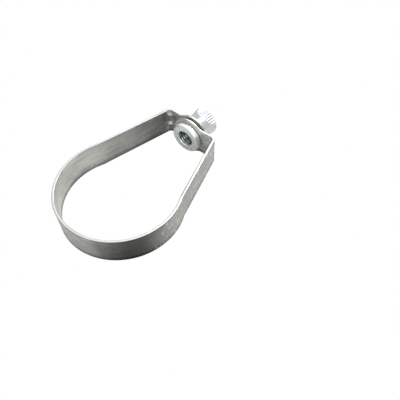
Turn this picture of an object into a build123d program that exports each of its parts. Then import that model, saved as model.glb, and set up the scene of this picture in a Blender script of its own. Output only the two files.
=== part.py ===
"""Swivel ring hanger for a 2 in pipe on a 3/8 in threaded rod.

A strip of galvanised steel is bent into a pear-shaped ring. Its two ends widen
into eyes that overlap at the top, and a turned, flanged nut passes through both
and carries the rod. The ring hangs on the nut's flange and swivels about it.

Frame: millimetres, origin at the centre of the pipe, +Y along the pipe and
+Z up the rod, so the ring's plane is XZ.
"""
from build123d import *

import os
from math import atan2, cos, radians, sin, sqrt

# Pipe and strip
pipe_diameter = 60.3
pipe_clearance = 0.85
strip_thickness = 1.5
strip_width = 16.0
edge_break = 0.3

# Bends of the ring, with radii on the middle of the strip
leg_start_angle = 26.0
kink_radius = 5.0
corner_radius = 3.0
plate_rise = 23.0
layer_gap = 1.5

# Flat pierced eyes at the strip's ends
eye_rim = 2.0
eye_neck_radius = 4.0
neck_flat = 5.8

# A pair of stiffening ribs pressed across each corner bend, nearer to the strip's -Y edge
rib_spacing = 6.7
rib_pair_offset = -2.4
rib_reach = 3.6
rib_radius = 1.6
rib_wall = 1.1

# Swivel nut
rod_bore_radius = 4.0
bore_mouth_radius = 5.0
nut_height = 19.0
flange_radius = 8.7
flange_thickness = 3.2
flange_face_chamfer = 0.8
flange_back_chamfer = 0.4
neck_radius = 7.0
swivel_clearance = 0.08
flange_clearance = 0.15
flare_clearance = 0.3
flare_radius = 7.9
flare_end_chamfer = 0.7
knurl_count = 30
knurl_depth = 0.5

half_thickness = strip_thickness / 2
half_width = strip_width / 2
loop_radius = pipe_diameter / 2 + pipe_clearance + half_thickness
layer_pitch = strip_thickness + layer_gap
inner_plate_height = loop_radius + plate_rise
outer_plate_height = inner_plate_height + layer_pitch

# The neck of an eye runs out to the strip's full width before the plate and the corner bend
eye_radius = flange_radius + eye_rim
neck_end = sqrt((eye_radius + eye_neck_radius)**2 - (half_width + eye_neck_radius)**2)
plate_end = neck_end + neck_flat / 2
corner_half_span = neck_end + neck_flat + corner_radius

# The leg leaves the loop at its foot and leans inwards as it rises
leg_foot = Vector(cos(radians(leg_start_angle)), sin(radians(leg_start_angle))) * loop_radius
leg_lean = atan2(leg_foot.X - corner_half_span, inner_plate_height - leg_foot.Y)
leg_up = Vector(-sin(leg_lean), cos(leg_lean))
leg_out = Vector(cos(leg_lean), sin(leg_lean))


def leg_point(height, offset=0.0):
    """Point at a height on the right leg's middle line, or on a line that far outside it."""
    start = leg_foot + leg_out * offset
    return start + leg_up * ((height - start.Y) / leg_up.Y)


def on_side(point, side):
    """Coordinates of a point of the right half, mirrored to the left for side -1."""
    return (side * point.X, point.Y)


def ring_path():
    """Middle line of the strip: the loop, and from each end of it a kink, a leg and a plate."""
    reach = leg_foot.dot(leg_out) + kink_radius
    centre_distance = loop_radius + kink_radius
    kink_centre = leg_out * reach + leg_up * sqrt(centre_distance**2 - reach**2)
    loop_end = kink_centre * (loop_radius / centre_distance)
    leg_start = kink_centre - leg_out * kink_radius
    kink_middle = kink_centre - (leg_out + kink_centre.normalized()).normalized() * kink_radius

    path = [ThreePointArc(on_side(loop_end, -1), (0, -loop_radius), on_side(loop_end, 1))]
    for side, height in ((1, inner_plate_height), (-1, outer_plate_height)):
        path.append(ThreePointArc(on_side(loop_end, side), on_side(kink_middle, side), on_side(leg_start, side)))
        turns = [leg_start, leg_point(height), Vector(plate_end, height)]
        path.append(FilletPolyline(*[on_side(turn, side) for turn in turns], radius=corner_radius))
    return path


def bent_strip():
    """The strip at its full width, bent to the ring and up to the necks of the eyes."""
    section = Plane.XZ * trace(Curve(ring_path()), strip_thickness)
    return extrude(section, half_width, both=True)


def eye_blank(height, side):
    """Flat rounded and pierced end of the strip, with its neck reaching to the corner bend on one side."""
    outline = Circle(eye_radius) + Pos(side * plate_end / 2, 0) * Rectangle(plate_end, strip_width)
    waist = [vertex for vertex in outline.vertices() if 0 < side * vertex.X < neck_end]
    outline = fillet(waist, eye_neck_radius) - Circle(neck_radius + swivel_clearance)
    return Pos(0, 0, height - half_thickness) * extrude(outline, strip_thickness)


def break_edges(ring):
    """The ring with the long edges of the strip and of its eyes broken, as on rolled strip."""
    sides = [face for face in ring.faces() if abs(face.normal_at().Z) < 0.01]
    edges = [edge for face in sides for edge in face.edges() if edge.length > strip_thickness * 1.01]
    return chamfer(edges, edge_break)


def capsule(start, end, radius):
    """Round bar with round ends between two points."""
    bar = Plane(origin=(start + end) / 2, z_dir=end - start) * Cylinder(radius, (end - start).length)
    return bar + Pos(*start) * Sphere(radius) + Pos(*end) * Sphere(radius)


def slab(corners, side, offset, half_depth):
    """Flat slab in the ring's plane, mirrored to one side, with its middle at an offset along Y."""
    outline = Polyline(*[on_side(corner, side) for corner in corners], close=True)
    return Pos(0, offset, 0) * extrude(Plane.XZ * make_face(outline), half_depth, both=True)


def press_rib(ring, height, side, offset):
    """The ring with one rib pressed inwards across the corner bend below a plate."""
    corner = leg_point(height + half_thickness, half_thickness)
    on_plate = corner - Vector(rib_reach, 0)
    on_leg = corner - leg_up * rib_reach
    outward = (leg_up + Vector(1, 0)).normalized() * rib_reach
    start = Vector(side * on_plate.X, offset, on_plate.Y)
    end = Vector(side * on_leg.X, offset, on_leg.Y)

    inner_limit = [on_plate - Vector(rib_reach, 0), on_plate, on_leg, on_leg - leg_up * rib_reach, -outward + corner / 2]
    ridge = capsule(start, end, rib_radius) & slab(inner_limit, side, offset, rib_reach)
    groove_radius = rib_radius - rib_wall
    open_side = [on_plate, on_leg, on_leg + outward, on_plate + outward]
    return ring + ridge - capsule(start, end, groove_radius) - slab(open_side, side, offset, groove_radius)


def band():
    """The whole ring, from one strip."""
    ring = bent_strip() + eye_blank(inner_plate_height, 1) + eye_blank(outer_plate_height, -1)
    ring = break_edges(ring)
    for height, side in ((inner_plate_height, 1), (outer_plate_height, -1)):
        for offset in (rib_pair_offset - rib_spacing / 2, rib_pair_offset + rib_spacing / 2):
            ring = press_rib(ring, height, side, offset)
    return ring


def swivel_nut():
    """Turned nut: flange inside the ring, neck through both eyes, flared and knurled end outside."""
    flange_back = inner_plate_height - half_thickness - flange_clearance
    face = flange_back - flange_thickness
    end = face + nut_height
    flare_start = outer_plate_height + half_thickness + flare_clearance
    mouth_depth = bore_mouth_radius - rod_bore_radius
    outline = Polyline(
        (rod_bore_radius, face + mouth_depth),
        (bore_mouth_radius, face),
        (flange_radius - flange_face_chamfer, face),
        (flange_radius, face + flange_face_chamfer),
        (flange_radius, flange_back - flange_back_chamfer),
        (flange_radius - flange_back_chamfer, flange_back),
        (neck_radius, flange_back),
        (neck_radius, flare_start),
        (flare_radius, end - flare_end_chamfer),
        (flare_radius - flare_end_chamfer, end),
        (bore_mouth_radius, end),
        (rod_bore_radius, end - mouth_depth),
        close=True,
    )
    body = revolve(Plane.XZ * make_face(outline), Axis.Z)
    return body - [turn * knurl_groove(flare_start, end) for turn in PolarLocations(0, knurl_count)]


def knurl_groove(low, high):
    """Straight V groove beside the axis that runs out where the flare narrows to its root."""
    root = flare_radius - knurl_depth
    rim = root + 2 * knurl_depth
    section = Polyline((root, 0), (rim, 2 * knurl_depth), (rim, -2 * knurl_depth), close=True)
    return Pos(0, 0, low) * extrude(make_face(section), high - low)


os.makedirs("parts", exist_ok=True)
export_step(band(), "parts/band.step")
export_step(swivel_nut(), "parts/swivel_nut.step")
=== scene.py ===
"""Looks of the swivel ring hanger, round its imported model.

Metres, with +Z up the rod and +Y along the pipe. The hanger lies on a pale
floor that only its reflections and its light show. It is seen from its -Y side,
from below and a little from the right.
"""

from math import cos, radians, sin, tau

import bmesh
import bpy
from mathutils import Matrix, Vector


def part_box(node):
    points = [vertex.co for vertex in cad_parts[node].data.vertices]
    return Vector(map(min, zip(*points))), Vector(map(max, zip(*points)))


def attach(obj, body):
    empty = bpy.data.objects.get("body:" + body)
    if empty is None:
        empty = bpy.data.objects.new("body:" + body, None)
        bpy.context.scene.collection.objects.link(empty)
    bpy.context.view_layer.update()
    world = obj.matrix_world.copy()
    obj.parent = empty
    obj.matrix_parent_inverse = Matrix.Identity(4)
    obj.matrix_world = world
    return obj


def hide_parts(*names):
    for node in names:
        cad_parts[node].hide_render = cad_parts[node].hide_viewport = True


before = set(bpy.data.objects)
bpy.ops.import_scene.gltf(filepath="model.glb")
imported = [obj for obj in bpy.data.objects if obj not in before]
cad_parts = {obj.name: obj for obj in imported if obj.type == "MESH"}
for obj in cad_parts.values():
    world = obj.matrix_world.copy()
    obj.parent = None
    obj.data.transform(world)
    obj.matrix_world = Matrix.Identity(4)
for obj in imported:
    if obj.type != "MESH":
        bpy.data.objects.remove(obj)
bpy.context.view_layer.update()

MM = 0.001
WELD_DISTANCE = 0.002 * MM
ARC_STEPS = 4

# Camera, as in the photograph: a square picture
CAMERA_PLACE = Vector((0.1193, -0.1841, -0.0843))
CAMERA_AIM = Vector((0.0287, 0.0089, 0.0278))
PICTURE_UP = Vector((-0.4946, -0.5983, 0.6304))
LENS = 41.42

# The nut's turned form, as in the part
THREAD_PITCH = 25.4 * MM / 16
THREAD_DEPTH = 0.70 * MM
THREAD_STEPS = 8
BORE_RADIUS = 4.0 * MM
MOUTH_RADIUS = 5.0 * MM
NECK_RADIUS = 7.0 * MM
FLANGE_RADIUS = 8.7 * MM
FLANGE_THICKNESS = 3.2 * MM
FLARE_LENGTH = 10.85 * MM
FLARE_RADIUS = 7.9 * MM
FLUTE_COUNT = 30
FLUTE_DEPTH = 0.5 * MM
STEPS_PER_FLUTE = 8


def show(name, mesh, body, node):
    """An object at the origin that stands for one CAD node and moves with its body."""
    piece = bpy.data.objects.new(name, mesh)
    bpy.context.scene.collection.objects.link(piece)
    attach(piece, body)
    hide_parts(node)
    return piece


def smooth_mesh(form, name, crease):
    """The bmesh as a mesh, shaded smooth up to a crease angle in degrees."""
    mesh = bpy.data.meshes.new(name)
    form.to_mesh(mesh)
    form.free()
    mesh.shade_smooth()
    mesh.set_sharp_from_angle(angle=radians(crease))
    return mesh


def hold_flats(piece):
    """Keeps flat faces flat under smooth shading, so that only the edges look rounded."""
    weighted = piece.modifiers.new("flat faces", "WEIGHTED_NORMAL")
    weighted.weight = 100
    weighted.keep_sharp = True


# The band: the strip as packed, welded and shaded as one skin

def pressed_band():
    form = bmesh.new()
    form.from_mesh(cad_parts["band"].data)
    bmesh.ops.remove_doubles(form, verts=form.verts, dist=WELD_DISTANCE)
    bmesh.ops.dissolve_degenerate(form, edges=form.edges, dist=0.001 * MM)
    piece = show("pressed_band", smooth_mesh(form, "pressed_band", 50), "ring", "band")
    hold_flats(piece)
    return piece


# The nut: one turned profile, then its thread and its flutes

def along(start, end, count):
    """Points from start to just before end."""
    return [start.lerp(end, step / count) for step in range(count)]


def nut_profile(low, high):
    """Half section of the nut from the lower mouth, round the outside and down the bore."""
    def at(radius, height):
        return Vector((radius, 0, height))

    flange_back = low + FLANGE_THICKNESS
    flare_start = high - FLARE_LENGTH
    chamfer = 0.7 * MM
    back_chamfer = 0.4 * MM
    land = 0.15 * MM
    mouth_depth = MOUTH_RADIUS - BORE_RADIUS
    outline = [at(MOUTH_RADIUS, low), at(MOUTH_RADIUS + land, low), at(FLANGE_RADIUS - chamfer - land, low)]
    for step in range(ARC_STEPS + 1):
        angle = radians(90 * step / ARC_STEPS)
        outline += [at(FLANGE_RADIUS - chamfer * (1 - sin(angle)), low + chamfer * (1 - cos(angle)))]
    outline += [at(FLANGE_RADIUS, flange_back - back_chamfer), at(FLANGE_RADIUS - back_chamfer, flange_back)]
    outline += [at(NECK_RADIUS + land, flange_back), at(NECK_RADIUS, flange_back + land)]
    outline += [at(NECK_RADIUS, flare_start)]
    outline += along(at(NECK_RADIUS, flare_start + land), at(FLARE_RADIUS, high - chamfer), 16)
    for step in range(ARC_STEPS + 1):
        angle = radians(90 * step / ARC_STEPS)
        outline += [at(FLARE_RADIUS - chamfer * (1 - cos(angle)), high - chamfer * (1 - sin(angle)))]
    outline += [at(MOUTH_RADIUS + land, high)]
    rows = round((high - low - 2 * mouth_depth) / THREAD_PITCH * THREAD_STEPS)
    outline += along(at(MOUTH_RADIUS, high), at(BORE_RADIUS, high - mouth_depth), 4)
    outline += along(at(BORE_RADIUS, high - mouth_depth), at(BORE_RADIUS, low + mouth_depth), rows)
    outline += along(at(BORE_RADIUS, low + mouth_depth), at(MOUTH_RADIUS, low), 4)
    return outline


def cut_thread(form, low, high):
    """Moves the bore's wall outwards along a helix, for a 60 degree thread that runs out in the mouths."""
    wall = [v for v in form.verts if v.co.xy.length < MOUTH_RADIUS - 0.01 * MM]
    for vert in wall:
        angle = Vector((1, 0)).angle_signed(vert.co.xy) % tau
        phase = ((vert.co.z - low) / THREAD_PITCH + angle / tau) % 1
        # A tenth of the pitch is flat at the crest, and as much at the root
        groove = min(1, max(0, 1.25 * (1 - abs(2 * phase - 1)) - 0.125))
        radius = max(vert.co.xy.length, BORE_RADIUS + THREAD_DEPTH * groove)
        vert.co.xy = vert.co.xy.normalized() * radius


def cut_flutes(form, flare_start, high):
    """Presses straight V flutes into the flare, which run out where it narrows to their root."""
    root = FLARE_RADIUS - FLUTE_DEPTH
    barrel = [v for v in form.verts if v.co.z > flare_start and v.co.xy.length > root]
    for vert in barrel:
        angle = Vector((1, 0)).angle_signed(vert.co.xy) % tau
        ridge = abs(2 * (angle * FLUTE_COUNT / tau % 1) - 1)
        radius = min(vert.co.xy.length, root + FLUTE_DEPTH * min(1, 1.5 * ridge))
        if vert.co.z < high - 0.05 * MM:
            vert.co.xy = vert.co.xy.normalized() * radius


def turned_nut():
    lowest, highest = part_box("swivel_nut")
    low, high = lowest.z, highest.z
    form = bmesh.new()
    points = [form.verts.new(point) for point in nut_profile(low, high)]
    edges = [form.edges.new(pair) for pair in zip(points, points[1:] + points[:1])]
    bmesh.ops.spin(
        form, geom=points + edges, cent=(0, 0, 0), axis=(0, 0, 1), angle=tau,
        steps=FLUTE_COUNT * STEPS_PER_FLUTE, use_merge=True, use_duplicate=False,
    )
    bmesh.ops.remove_doubles(form, verts=form.verts, dist=WELD_DISTANCE)
    cut_thread(form, low, high)
    cut_flutes(form, high - FLARE_LENGTH, high)
    bmesh.ops.recalc_face_normals(form, faces=form.faces)
    return show("turned_nut", smooth_mesh(form, "turned_nut", 40), "nut", "swivel_nut")


# Finishes

class Finish:
    """A metal finish, whose nodes are added one by one."""

    def __init__(self, name, metallic):
        self.material = bpy.data.materials.new(name)
        self.material.use_nodes = True
        self.tree = self.material.node_tree
        self.shader = self.tree.nodes["Principled BSDF"]
        self.shader.inputs["Metallic"].default_value = metallic
        coordinates = self.add("ShaderNodeTexCoord").outputs
        self.place = coordinates["Object"]
        self.facing = coordinates["Normal"]

    def add(self, kind, **values):
        """A node with some of its settings and input values given by name."""
        node = self.tree.nodes.new(kind)
        for name, value in values.items():
            if name in node.inputs:
                self.feed(node.inputs[name], value)
            else:
                setattr(node, name, value)
        return node

    def feed(self, socket, value):
        """Links an output to a socket, or sets the socket's own value."""
        if isinstance(value, bpy.types.NodeSocket):
            self.tree.links.new(value, socket)
        else:
            socket.default_value = value

    def finish_with(self, colour, roughness, relief):
        """Gives the shader its colour, roughness and relief, and returns the material."""
        self.feed(self.shader.inputs["Base Color"], colour)
        self.feed(self.shader.inputs["Roughness"], roughness)
        self.feed(self.shader.inputs["Normal"], relief)
        return self.material

    def noise(self, scale, stretch=(1, 1, 1), detail=3.0):
        """Noise on the object's own coordinates, finer along an axis where the stretch is larger."""
        mapped = self.add("ShaderNodeMapping", Vector=self.place, Scale=stretch).outputs[0]
        texture = self.add("ShaderNodeTexNoise", Vector=mapped, Scale=scale, Detail=detail, Roughness=0.55)
        return texture.outputs["Fac"]

    def spread(self, value, low, high, out_low=0.0, out_high=1.0):
        """Maps low..high to out_low..out_high, smoothly and clamped."""
        ranged = self.add("ShaderNodeMapRange", interpolation_type="SMOOTHSTEP")
        for socket, number in zip(ranged.inputs, (value, low, high, out_low, out_high)):
            self.feed(socket, number)
        return ranged.outputs[0]

    def calculate(self, operation, first, second=0.0):
        result = self.add("ShaderNodeMath", operation=operation)
        self.feed(result.inputs[0], first)
        self.feed(result.inputs[1], second)
        return result.outputs[0]

    def total(self, first, *others):
        for other in others:
            first = self.calculate("ADD", first, other)
        return first

    def product(self, first, *others):
        for other in others:
            first = self.calculate("MULTIPLY", first, other)
        return first

    def rest_of(self, share):
        """What a share leaves of one."""
        return self.calculate("SUBTRACT", 1.0, share)

    def parts(self, vector):
        """The three parts of a vector."""
        return self.add("ShaderNodeSeparateXYZ", Vector=vector).outputs

    def distance(self, place, point):
        apart = self.add("ShaderNodeVectorMath", operation="DISTANCE")
        self.feed(apart.inputs[0], place)
        self.feed(apart.inputs[1], point)
        return apart.outputs["Value"]

    def grey(self, shade):
        return self.add("ShaderNodeCombineColor", Red=shade, Green=shade, Blue=shade).outputs[0]

    def blend(self, amount, first, second, mode="MIX"):
        """Colour between first and second by an amount."""
        mixed = self.add("ShaderNodeMix", data_type="RGBA", blend_type=mode)
        factor, first_colour, second_colour = (mixed.inputs[number] for number in (0, 6, 7))
        self.feed(factor, amount)
        self.feed(first_colour, first)
        self.feed(second_colour, second)
        return mixed.outputs[2]

    def shaded(self, colour, shade):
        """The colour, lighter or darker by a shade around one."""
        return self.blend(1.0, colour, self.grey(shade), "MULTIPLY")

    def bump(self, height, distance, below=None):
        """Relief of a height in metres, on top of another relief."""
        relief = self.add("ShaderNodeBump", Height=height, Distance=distance)
        if below:
            self.feed(relief.inputs["Normal"], below)
        return relief.outputs[0]


ZINC = (0.345, 0.35, 0.325, 1)
# Sheared edges: bare steel, painted lighter for the highlight they catch
SHEARED_EDGE_HIGHLIGHT = (0.70, 0.70, 0.69, 1)
SCUFF = (0.66, 0.66, 0.64, 1)
# The flange's face painted lighter and its rim near white, for light and highlight
FLANGE_FACE_PAINTED_LIGHT = (0.78, 0.83, 0.805, 1)
FLANGE_RIM_HIGHLIGHT = (0.95, 0.97, 0.98, 1)
BARREL = (0.50, 0.515, 0.535, 1)
# Painted shade in the bore
BORE_PAINTED_SHADE = (0.06, 0.085, 0.085, 1)

# Middle of the patch of painted shade on the outside of the loop
PAINTED_SHADE_MIDDLE = Vector((27.3, 0, -17.7)) * MM

# Tops of the pressed ribs, inside the left corner and the right one, where highlights are painted
RIB_TOPS = [
    Vector((-14.8, -5.75, 55.5)) * MM,
    Vector((-14.8, 0.95, 55.5)) * MM,
    Vector((15.6, -5.75, 52.5)) * MM,
    Vector((15.6, 0.95, 52.5)) * MM,
]


def galvanised_strip():
    """Dull grey zinc with rolling streaks, faint spangle and scuffs on one leg; painted light inside and
    under the loop and on the eyes, painted highlights on the rib tops and the sheared edges, and painted
    shade in a patch outside, along the far edge and on the broken edges.
    """
    finish = Finish("galvanised strip", metallic=1.0)
    streaks = finish.noise(1.0, stretch=(70, 2400, 70), detail=4)
    clouds = finish.noise(90.0, detail=2)
    grain = finish.noise(5200.0, detail=2)
    spangle = finish.add("ShaderNodeTexVoronoi", Vector=finish.place, Scale=420.0)
    flake = finish.add("ShaderNodeSeparateColor", Color=spangle.outputs["Color"]).outputs[0]

    # Where a point lies on the strip
    across, along_pipe, up = finish.parts(finish.place)
    facing_across, facing_along, facing_up = finish.parts(finish.facing)
    sideways = finish.calculate("ABSOLUTE", facing_along)
    near_edge = finish.spread(finish.calculate("ABSOLUTE", along_pipe), 6.2 * MM, 6.8 * MM)
    edge = finish.product(finish.spread(sideways, 0.93, 0.99), near_edge)
    rounding = finish.product(finish.spread(sideways, 0.3, 0.6), near_edge)
    outwards = finish.total(finish.product(across, facing_across), finish.product(up, facing_up))
    outside = finish.spread(outwards, -5 * MM, 5 * MM)
    inside = finish.rest_of(outside)

    # Painted light inside the loop and fading up the legs, under the loop and on the eyes, and painted
    # highlights on top of the ribs
    painted_light_inside = finish.product(inside, finish.spread(up, 6 * MM, 24 * MM, 0.5, 0.0))
    below_loop = finish.spread(up, -22 * MM, -8 * MM, 1.0, 0.0)
    # painted light outside under the loop, fading out towards the right
    pale = finish.product(outside, below_loop, finish.spread(across, 3 * MM, 17 * MM, 0.9, 0.0))
    # painted light on the plates and eyes, fading out towards the left corner
    top = finish.spread(up, 52.5 * MM, 53.5 * MM, 0.0, 0.7)
    eyes = finish.product(top, finish.spread(across, -13 * MM, -7 * MM))
    # painted highlights on the rib tops
    from_tops = [finish.distance(finish.place, rib_top) for rib_top in RIB_TOPS]
    ribs = finish.total(*[finish.spread(away, 0.7 * MM, 1.7 * MM, 1.6, 0.0) for away in from_tops])

    # Painted shade in one patch outside, along the far edge and on the broken edges
    in_plane = finish.add("ShaderNodeCombineXYZ", X=across, Z=up).outputs[0]
    from_patch = finish.distance(in_plane, PAINTED_SHADE_MIDDLE)
    painted_shade_patch = finish.product(outside, finish.spread(from_patch, 2 * MM, 22 * MM, 0.74, 0.0))
    shade = finish.product(
        finish.spread(streaks, 0.3, 0.7, 0.72, 1.18),
        finish.spread(clouds, 0.3, 0.7, 0.88, 1.08),
        finish.spread(flake, 0, 1, 0.94, 1.05),
        finish.total(1.0, painted_light_inside),
        finish.total(1.0, pale),
        finish.total(1.0, eyes),
        finish.total(1.0, ribs),
        finish.rest_of(painted_shade_patch),
        # painted shade, darker towards the far edge
        finish.spread(along_pipe, 4.0 * MM, 7.8 * MM, 1.0, 0.42),
        # painted shade on the broken edges
        finish.rest_of(finish.product(rounding, 0.4)),
    )

    # Short scuffs on the outside of the right leg
    dashes = finish.spread(finish.noise(1.0, stretch=(620, 230, 620), detail=1), 0.61, 0.69)
    right_side = finish.spread(across, 16 * MM, 18 * MM)
    on_leg = finish.spread(up, -12 * MM, -6 * MM, 0.0, 0.5)
    scuffed = finish.product(dashes, outside, right_side, on_leg)

    zinc = finish.blend(scuffed, finish.shaded(ZINC, shade), SCUFF)
    rough_flake = finish.spread(flake, 0, 1, -0.03, 0.03)
    rough = finish.total(finish.spread(clouds, 0.25, 0.75, 0.38, 0.5), rough_flake)
    relief = finish.bump(grain, 0.006 * MM, below=finish.bump(streaks, 0.010 * MM))
    # the sheared edges: bare steel, painted lighter for the highlight they catch
    return finish.finish_with(finish.blend(edge, zinc, SHEARED_EDGE_HIGHLIGHT), rough, relief)


def zinc_plate():
    """Bright bluish zinc on turned steel, with fine lathe rings, painted light on the flange's face, a
    painted highlight on its rim and painted shade in the bore.
    """
    finish = Finish("zinc plate", metallic=0.75)
    clouds = finish.noise(220.0)
    across, along_pipe, up = finish.parts(finish.place)
    flat = finish.add("ShaderNodeCombineXYZ", X=across, Y=along_pipe)
    radius = finish.add("ShaderNodeVectorMath", operation="LENGTH", Vector=flat.outputs[0]).outputs["Value"]
    rings = finish.add("ShaderNodeCombineXYZ", X=radius, Z=up)
    lathe = finish.add("ShaderNodeTexNoise", Vector=rings.outputs[0], Scale=5200.0, Detail=2.0).outputs["Fac"]

    # painted light on the flange's face and a painted highlight on its rim
    flange = finish.blend(finish.spread(up, 50.8 * MM, 51.5 * MM), FLANGE_FACE_PAINTED_LIGHT, FLANGE_RIM_HIGHLIGHT)
    plated = finish.blend(finish.spread(up, 53.9 * MM, 54.1 * MM), flange, BARREL)
    plated = finish.shaded(plated, finish.spread(clouds, 0.3, 0.7, 0.94, 1.03))
    outside_bore = finish.spread(radius, 4.4 * MM, 4.8 * MM)
    # painted shade in the bore
    colour = finish.blend(outside_bore, BORE_PAINTED_SHADE, plated)
    rough = finish.spread(clouds, 0.25, 0.75, 0.2, 0.34)
    return finish.finish_with(colour, rough, finish.bump(lathe, 0.012 * MM))


# Floor, world, lamps and camera

FLOOR_LOW = Vector((0, 8.0 * MM, -32.2 * MM))
FLOOR_HIGH = Vector((0, 10.7 * MM, 54.3 * MM))
FLOOR_SIZE = 4.0
SKY_LIGHT = 0.45
LAMP_AIM = Vector((0, 0, 0.02))


def lay_floor():
    """A floor that the loop's edge and the eye's rim touch, with its face towards the camera."""
    form = bmesh.new()
    bmesh.ops.create_grid(form, x_segments=1, y_segments=1, size=FLOOR_SIZE / 2)
    up_slope = (FLOOR_HIGH - FLOOR_LOW).normalized()
    facing = Vector((1, 0, 0)).cross(up_slope)
    across = up_slope.cross(facing)
    turn = Matrix((across, up_slope, facing)).transposed()
    bmesh.ops.rotate(form, verts=form.verts, cent=(0, 0, 0), matrix=turn)
    bmesh.ops.translate(form, verts=form.verts, vec=FLOOR_LOW)
    mesh = bpy.data.meshes.new("floor")
    form.to_mesh(mesh)
    form.free()
    floor = bpy.data.objects.new("floor", mesh)
    bpy.context.scene.collection.objects.link(floor)
    floor.data.materials.append(floor_paint())
    floor.visible_camera = False


def floor_paint():
    """Matt white from the front, and clear from behind."""
    material = bpy.data.materials.new("floor paint")
    material.use_nodes = True
    tree = material.node_tree
    tree.nodes.clear()
    output = tree.nodes.new("ShaderNodeOutputMaterial")
    paint = tree.nodes.new("ShaderNodeBsdfDiffuse")
    paint.inputs["Color"].default_value = (0.9, 0.9, 0.9, 1)
    side = tree.nodes.new("ShaderNodeNewGeometry")
    clear = tree.nodes.new("ShaderNodeBsdfTransparent")
    choose = tree.nodes.new("ShaderNodeMixShader")
    tree.links.new(side.outputs["Backfacing"], choose.inputs[0])
    tree.links.new(paint.outputs[0], choose.inputs[1])
    tree.links.new(clear.outputs[0], choose.inputs[2])
    tree.links.new(choose.outputs[0], output.inputs["Surface"])
    return material


def light_world():
    """White where it is seen or mirrored, and a soft grey light on everything."""
    world = bpy.data.worlds.new("studio")
    bpy.context.scene.world = world
    world.use_nodes = True
    tree = world.node_tree
    background = tree.nodes["Background"]
    background.inputs["Color"].default_value = (1, 1, 1, 1)
    path = tree.nodes.new("ShaderNodeLightPath")
    shown = path.outputs["Is Camera Ray"]
    for ray in ("Is Glossy Ray", "Is Transmission Ray"):
        either = tree.nodes.new("ShaderNodeMath")
        either.operation = "MAXIMUM"
        tree.links.new(shown, either.inputs[0])
        tree.links.new(path.outputs[ray], either.inputs[1])
        shown = either.outputs[0]
    level = tree.nodes.new("ShaderNodeMapRange")
    level.inputs["To Min"].default_value = SKY_LIGHT
    level.inputs["To Max"].default_value = 1.0
    tree.links.new(shown, level.inputs["Value"])
    tree.links.new(level.outputs[0], background.inputs["Strength"])


def hang_lamp(name, place, size, power):
    """A square soft box that faces the hanger."""
    lamp = bpy.data.lights.new(name, "AREA")
    lamp.shape = "SQUARE"
    lamp.size = size
    lamp.energy = power
    holder = bpy.data.objects.new(name, lamp)
    bpy.context.scene.collection.objects.link(holder)
    holder.location = place
    holder.rotation_mode = "QUATERNION"
    holder.rotation_quaternion = (LAMP_AIM - Vector(place)).to_track_quat("-Z", "Y")


def place_camera():
    camera = bpy.data.cameras.new("camera")
    camera.lens = LENS
    camera.clip_start = 0.01
    camera.clip_end = 10
    holder = bpy.data.objects.new("camera", camera)
    bpy.context.scene.collection.objects.link(holder)
    back = (CAMERA_PLACE - CAMERA_AIM).normalized()
    right = PICTURE_UP.cross(back).normalized()
    up = back.cross(right)
    holder.matrix_world = Matrix.Translation(CAMERA_PLACE) @ Matrix((right, up, back)).transposed().to_4x4()
    bpy.context.scene.camera = holder


pressed_band().data.materials.append(galvanised_strip())
turned_nut().data.materials.append(zinc_plate())

place_camera()
lay_floor()
light_world()
hang_lamp("key", (0.03, -0.42, 0.46), 0.30, 3.6)
hang_lamp("fill", (0.35, -0.30, -0.40), 0.40, 0.8)
hang_lamp("back", (-0.10, 0.50, 0.25), 0.60, 1.2)
bpy.context.scene.view_settings.view_transform = "Standard"
